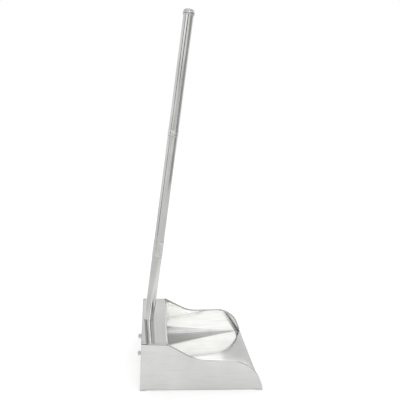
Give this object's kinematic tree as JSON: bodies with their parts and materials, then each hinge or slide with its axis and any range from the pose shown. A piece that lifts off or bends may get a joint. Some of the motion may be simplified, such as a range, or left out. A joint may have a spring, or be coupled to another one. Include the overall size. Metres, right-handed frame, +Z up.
{
  "type": "long-handled dustpan",
  "caption": "Upright stainless dustpan: a deep folded-sheet pan with a decked back and a tube handle that unscrews into lengths.",
  "frame": {"origin": "on the ground, in the middle of the footprint's bounding box", "axes": "+Z up; the mouth faces -Y; +X is to the right of someone who looks into the mouth"},
  "size_m": [0.3004, 0.2921, 0.8604],
  "materials": {
    "polished_stainless_sheet": "bright polished stainless sheet",
    "polished_stainless_tube": "polished welded stainless tube",
    "stainless_collar": "bright rolled stainless",
    "nylon_bush": "moulded natural nylon",
    "steel_stud": "rolled thread, bright steel",
    "steel_fastener": "bright zinc plate",
    "cap_finish": "bright plated cap"
  },
  "bodies": {
    "pan": {"right_side_wall": "polished_stainless_sheet", "left_side_wall": "polished_stainless_sheet", "floor_plate": "polished_stainless_sheet", "back_panel": "polished_stainless_sheet", "deck_plate": "polished_stainless_sheet", "lower_tube": "polished_stainless_tube", "lower_socket_bush": "nylon_bush", "handle_bolts": "steel_fastener", "flat_washers": "steel_fastener", "spring_washers": "steel_fastener", "hex_nuts": "steel_fastener"},
    "lower_sleeve": {"lower_sleeve": "stainless_collar"},
    "middle_section": {"middle_tube": "polished_stainless_tube", "middle_stud": "steel_stud", "middle_stud_bush": "nylon_bush", "middle_socket_bush": "nylon_bush"},
    "upper_ring": {"upper_ring": "stainless_collar"},
    "upper_section": {"upper_tube": "polished_stainless_tube", "upper_stud": "steel_stud", "upper_stud_bush": "nylon_bush", "end_cap": "cap_finish"}
  },
  "joints": [
    {"name": "middle_lift", "type": "slide", "parent": "pan", "child": "lower_sleeve", "axis": [0, -0.1374, 0.9905], "range_m": [0, 0.02]},
    {"name": "middle_unscrew", "type": "hinge", "parent": "lower_sleeve", "child": "middle_section", "pos_m": [0, 0.09294, 0.28014], "axis": [0, -0.1374, 0.9905], "range_deg": [0, 1800]},
    {"name": "upper_lift", "type": "slide", "parent": "middle_section", "child": "upper_ring", "axis": [0, -0.1374, 0.9905], "range_m": [0, 0.02]},
    {"name": "upper_unscrew", "type": "hinge", "parent": "upper_ring", "child": "upper_section", "pos_m": [0, 0.05185, 0.5763], "axis": [0, -0.1374, 0.9905], "range_deg": [0, 1800]}
  ],
  "couplings": [
    {"joint": "middle_lift", "follows": "middle_unscrew", "m_per_rad": 0.0006366},
    {"joint": "upper_lift", "follows": "upper_unscrew", "m_per_rad": 0.0006366}
  ]
}
